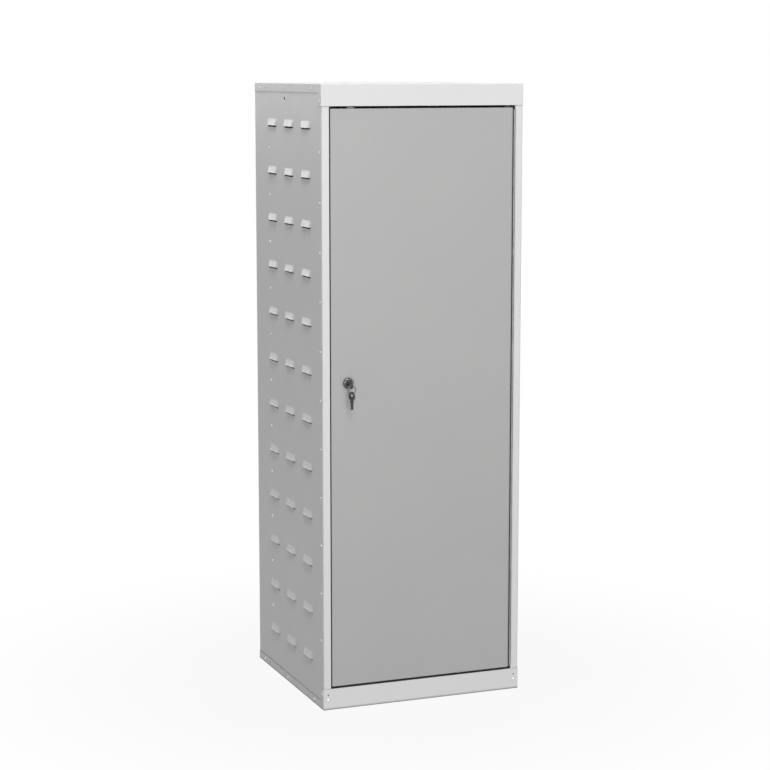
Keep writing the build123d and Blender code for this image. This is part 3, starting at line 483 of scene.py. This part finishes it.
# %% [markdown]
# ## The keys
# Both keys are stamped from flat nickel-plated brass: a round bow with a hole, a neck and a cut blade.
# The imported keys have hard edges. A flat curve with a hole, filled, thickened and given a small
# rounded bevel, has the soft tumbled edge of a real key, inside the same outline.
# The outline is drawn in millimetres from the key's shoulder, with the blade along x.

# %% Outline of a key
BOW_CENTRE = -16.364
BOW_RADIUS = 10.5
BOW_STEPS = 56
KEY_HOLE_CENTRE = -19.164
KEY_HOLE_RADIUS = 4.5
KEY_HOLE_STEPS = 40
NECK_HALF = 4.75
BLADE_HALF = 4.0
BLADE_LENGTH = 15.5
TIP_CHAMFER = 2.0
CUT_PITCH = 2.9
CUT_DEPTHS = (1.0, 2.2, 0.8, 1.6)


def arc(centre_x, radius, start, stop, count):
    turns = [start + (stop - start) * step / count for step in range(count + 1)]
    return [(centre_x + radius * math.cos(turn), radius * math.sin(turn)) for turn in turns]


neck_turn = math.asin(NECK_HALF / BOW_RADIUS)
key_outline = arc(BOW_CENTRE, BOW_RADIUS, neck_turn, 2 * math.pi - neck_turn, BOW_STEPS)
key_outline += [(0, -NECK_HALF), (0, -BLADE_HALF), (BLADE_LENGTH - TIP_CHAMFER, -BLADE_HALF)]
key_outline += [(BLADE_LENGTH, 0)]
for number, cut_depth in enumerate(CUT_DEPTHS):
    cut_middle = BLADE_LENGTH - TIP_CHAMFER - (number + 0.5) * CUT_PITCH
    key_outline += [(cut_middle + CUT_PITCH / 2, BLADE_HALF), (cut_middle, BLADE_HALF - cut_depth)]
key_outline += [(cut_middle - CUT_PITCH / 2, BLADE_HALF), (0, BLADE_HALF), (0, NECK_HALF)]
key_hole = arc(KEY_HOLE_CENTRE, KEY_HOLE_RADIUS, 0, 2 * math.pi, KEY_HOLE_STEPS)[:-1]
print("a key's outline has", len(key_outline), "points and its hole", len(key_hole))

# %% Stamp a key from its outline
KEY_THICKNESS = 2.0
KEY_EDGE = 0.3
KEY_EDGE_STEPS = 2


def flat_key(name, place, body):
    curve = bpy.data.curves.new(name, "CURVE")
    curve.dimensions = "2D"
    curve.fill_mode = "BOTH"
    curve.extrude = (KEY_THICKNESS / 2 - KEY_EDGE) * MM
    curve.bevel_depth = KEY_EDGE * MM
    curve.bevel_resolution = KEY_EDGE_STEPS
    curve.offset = -KEY_EDGE * MM
    for outline in (key_outline, key_hole):
        spline = curve.splines.new("POLY")
        spline.points.add(len(outline) - 1)
        for point, (x, y) in zip(spline.points, outline):
            point.co = (x * MM, y * MM, 0, 1)
        spline.use_cyclic_u = True
    pattern = put_in_scene(name + "_pattern", curve)
    data = shaped_mesh(pattern)
    bpy.data.objects.remove(pattern)
    data.transform(place)
    finished = put_in_scene(name, data)
    dress(finished, worn_nickel)
    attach(finished, body)
    return finished


def key_place(shoulder_mm, blade_way, cut_way):
    """The matrix that lays a flat key with its blade one way and its cuts another."""
    blade_way, cut_way = Vector(blade_way), Vector(cut_way)
    turned = Matrix((blade_way, cut_way, blade_way.cross(cut_way))).transposed().to_4x4()
    return Matrix.Translation(Vector(shoulder_mm) * MM) @ turned


print("a key is", KEY_THICKNESS, "mm thick with an edge of", KEY_EDGE, "mm")

# %% Lay both keys in place
LOCK_X = -185.5
KEY_SHOULDER = (LOCK_X, -242.3, 770.0)
SPARE_SHOULDER = (LOCK_X, -261.464, 726.436)
SPARE_TURN = math.radians(21)

turned_key = flat_key("key_in_lock", key_place(KEY_SHOULDER, (0, 1, 0), (0, 0, 1)), "key")
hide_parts("key")
spare_cut_way = (-math.sin(SPARE_TURN), math.cos(SPARE_TURN), 0)
hanging_key = flat_key("key_on_ring", key_place(SPARE_SHOULDER, (0, 0, -1), spare_cut_way), "spare_key")
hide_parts("spare_key")

# %% [markdown]
# ## The split ring
# A key ring is flat wire wound twice round and pressed shut, with a step where one turn passes to the
# other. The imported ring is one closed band. Sweeping a small rounded section twice round the same
# circle, with the step in it, gives the two turns and the two cut ends, inside the same band.
# A hair's breadth between the turns keeps the wire one clean surface.

# %% Section of the ring's wire
ring_low, ring_high = (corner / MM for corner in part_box("key_ring"))
ring_middle = (ring_low + ring_high) / 2
RING_OUTER = (ring_high.x - ring_low.x) / 2
RING_WIRE_WIDE = 1.5
RING_WIRE_THICK = (ring_high.y - ring_low.y) / 2
RING_TURN_GAP = 0.04
WIRE_SECTION = 12
SECTION_POWER = 0.6


def squared(value):
    """Push a sine or a cosine outwards, which turns a round section into a flat one with round corners."""
    return math.copysign(abs(value) ** SECTION_POWER, value)


def wire_section(ring_turn, shift):
    """Points of the wire's section at one turn of the ring, shifted along the ring's axis."""
    points = []
    for step in range(WIRE_SECTION):
        turn = 2 * math.pi * step / WIRE_SECTION
        wide = squared(math.cos(turn)) * RING_WIRE_WIDE / 2
        thick = squared(math.sin(turn)) * (RING_WIRE_THICK - RING_TURN_GAP) / 2
        radius = RING_OUTER - RING_WIRE_WIDE / 2 + wide
        points.append(ring_middle + Vector((radius * math.cos(ring_turn), shift + thick,
                                            radius * math.sin(ring_turn))))
    return points


print(f"wire {RING_WIRE_WIDE} x {RING_WIRE_THICK:.2f} mm in a ring {2 * RING_OUTER:.1f} mm wide")

# %% Wind the split ring
RING_TURNS = 2
RING_START = math.radians(200)
STEP_TURN = math.radians(50)
WIRE_STEPS = 144

mesh = bmesh.new()
loops = []
for step in range(WIRE_STEPS + 1):
    swept = RING_TURNS * 2 * math.pi * step / WIRE_STEPS
    passed = min(1.0, max(0.0, (swept - 2 * math.pi) / STEP_TURN + 0.5))
    eased = passed * passed * (3 - 2 * passed)
    shift = RING_WIRE_THICK * (eased - 0.5)
    loops.append([mesh.verts.new(point * MM) for point in wire_section(RING_START + swept, shift)])
for first, second in zip(loops, loops[1:]):
    for side in range(WIRE_SECTION):
        after = (side + 1) % WIRE_SECTION
        mesh.faces.new((first[side], first[after], second[after], second[side])).smooth = True
mesh.faces.new(loops[0])
mesh.faces.new(loops[-1])
bmesh.ops.recalc_face_normals(mesh, faces=mesh.faces)
split_ring = put_in_scene("split_ring", mesh_data("split_ring", mesh))
dress(split_ring, dark_bright_plate)
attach(split_ring, "key_ring")
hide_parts("key_ring")
print("split ring:", len(split_ring.data.vertices), "points")

# %% [markdown]
# ## The floor
# The cabinet stands on a plain white studio floor that runs on into a white background.
# A floor lit to pure white would need so much light that the pale cabinet would burn out too.
# Instead the floor is an ordinary grey surface for the light that bounces, and only what the camera
# or a shiny surface sees of it is lifted to white, less near the cabinet, so its shadow stays.

# %% Tell a direct look from bounced light
def seen_directly(tree):
    """1 for rays from the camera, a mirror or a glass, and 0 for light that bounces softly."""
    path = tree.nodes.new("ShaderNodeLightPath")
    total = path.outputs["Is Camera Ray"]
    for other in ("Is Glossy Ray", "Is Transmission Ray"):
        add = tree.nodes.new("ShaderNodeMath")
        add.operation = "MAXIMUM"
        tree.links.new(total, add.inputs[0])
        tree.links.new(path.outputs[other], add.inputs[1])
        total = add.outputs["Value"]
    return total


def show_instead(tree, share, plain, shown, output):
    """Mix two shaders by a share and send them to an output node."""
    mix = tree.nodes.new("ShaderNodeMixShader")
    tree.links.new(share, mix.inputs["Fac"])
    tree.links.new(plain, mix.inputs[1])
    tree.links.new(shown, mix.inputs[2])
    tree.links.new(mix.outputs["Shader"], tree.nodes[output].inputs["Surface"])


print("helpers ready: seen_directly, show_instead")

# %% Make the floor's finish
FLOOR_GREY = 0.28
FLOOR_ROUGH = 0.9
FLOOR_MIRROR = 0.1
WHITE_SPAN = (0.35, 1.3)
LIFT_SPAN = (0.92, 1.0)

floor_finish, tree, shader = new_finish("pale_studio_floor")
shader.inputs["Base Color"].default_value = (FLOOR_GREY, FLOOR_GREY, FLOOR_GREY, 1)
shader.inputs["Roughness"].default_value = FLOOR_ROUGH
shader.inputs["Specular IOR Level"].default_value = FLOOR_MIRROR
glow = tree.nodes.new("ShaderNodeEmission")
place = tree.nodes.new("ShaderNodeTexCoord")
distance = tree.nodes.new("ShaderNodeVectorMath")
distance.operation = "LENGTH"
tree.links.new(place.outputs["Object"], distance.inputs[0])
lift = rescale(tree, distance.outputs["Value"], WHITE_SPAN, LIFT_SPAN, easing="SMOOTHSTEP")
only_seen = tree.nodes.new("ShaderNodeMath")
only_seen.operation = "MULTIPLY"
tree.links.new(seen_directly(tree), only_seen.inputs[0])
tree.links.new(lift, only_seen.inputs[1])
show_instead(tree, only_seen.outputs["Value"], shader.outputs["BSDF"], glow.outputs["Emission"],
             "Material Output")
print("floor finish:", floor_finish.name, "white from", WHITE_SPAN[1], "m out")

# %% Lay the floor
FLOOR_HALF = 40.0
FLOOR_DROP = 0.0005

floor_corners = [(x * FLOOR_HALF, y * FLOOR_HALF, 0) for x, y in ((-1, -1), (1, -1), (1, 1), (-1, 1))]
floor_data = bpy.data.meshes.new("studio_floor")
floor_data.from_pydata(floor_corners, [], [(0, 1, 2, 3)])
floor = put_in_scene("studio_floor", floor_data)
floor.location.z = cad_low.z - FLOOR_DROP
dress(floor, floor_finish)
print("floor", 2 * FLOOR_HALF, "m wide, just under", round(cad_low.z, 4))

# %% [markdown]
# ## The surroundings
# Soft light from all round fills the shaded side. The same white is shown behind the cabinet and in
# its shiny parts, while the light that it gives is kept lower, so that a grey renders as it is written.

# %% Light from all round
AMBIENT = 0.1

world = bpy.data.worlds.new("white_studio")
scene.world = world
world.use_nodes = True
tree = world.node_tree
soft = tree.nodes["Background"]
soft.inputs["Strength"].default_value = AMBIENT
white = tree.nodes.new("ShaderNodeBackground")
for light in (soft, white):
    light.inputs["Color"].default_value = (1, 1, 1, 1)
show_instead(tree, seen_directly(tree), soft.outputs["Background"], white.outputs["Background"],
             "World Output")
print("ambient level", AMBIENT)

# %% [markdown]
# ## The lamps
# The picture has a high soft lamp in front, which leaves a dark line under the header and the door,
# and light from low in front, so wide that the keys hardly throw a shadow. The left side is in shade,
# yet the hoods of the louvres shine: a wide lamp far behind on the left is mirrored by paint that tilts
# upwards, and hardly by the flat sheet. A smaller one overhead helps it. The last three keep the other
# sides from going dark, and hang no higher than the cabinet, so that its top doesn't mirror them.
# The one behind on the right grazes the right side, so that its hoods show as well.
# Area lamps are the studio softboxes: the larger they are, the softer the edges of the shadows.

# %% Hang the softboxes
def softbox(name, place, aim, size, power):
    """An area lamp at a place, turned to an aim, with its size in metres and its power in watts."""
    lamp_data = bpy.data.lights.new(name, "AREA")
    lamp_data.shape = "RECTANGLE"
    lamp_data.size, lamp_data.size_y = size
    lamp_data.energy = power
    lamp = put_in_scene(name, lamp_data)
    lamp.location = place
    lamp.rotation_euler = (Vector(aim) - Vector(place)).to_track_quat("-Z", "Y").to_euler()


softbox("front_softbox", place=(-0.4, -3.6, 4.8), aim=(0, -0.2, 0.6), size=(2.4, 2.0), power=144)
softbox("left_softbox", place=(-1.0, -0.3, 4.4), aim=(-0.2, 0, 0.9), size=(0.7, 0.9), power=50)
softbox("front_fill", place=(-0.6, -4.8, 1.1), aim=(0, 0, 0.8), size=(4.0, 2.2), power=104)
softbox("rim_softbox", place=(-2.6, 7.5, 2.6), aim=(-0.2, 0, 0.8), size=(2.6, 2.6), power=68)
softbox("left_fill", place=(-3.4, 0.2, 0.9), aim=(0, 0, 0.9), size=(1.6, 1.1), power=4)
softbox("right_fill", place=(2.6, 0.4, 1.2), aim=(0, 0, 0.7), size=(1.8, 0.5), power=10)
softbox("rear_softbox", place=(2.0, 3.4, 0.9), aim=(0.1, 0.1, 0.8), size=(1.2, 1.0), power=85)

# %% [markdown]
# ## Finish
# The picture is shown with the plain Standard view, so the greys come out as they were written.

# %% Show the picture with the Standard view
scene.view_settings.view_transform = "Standard"
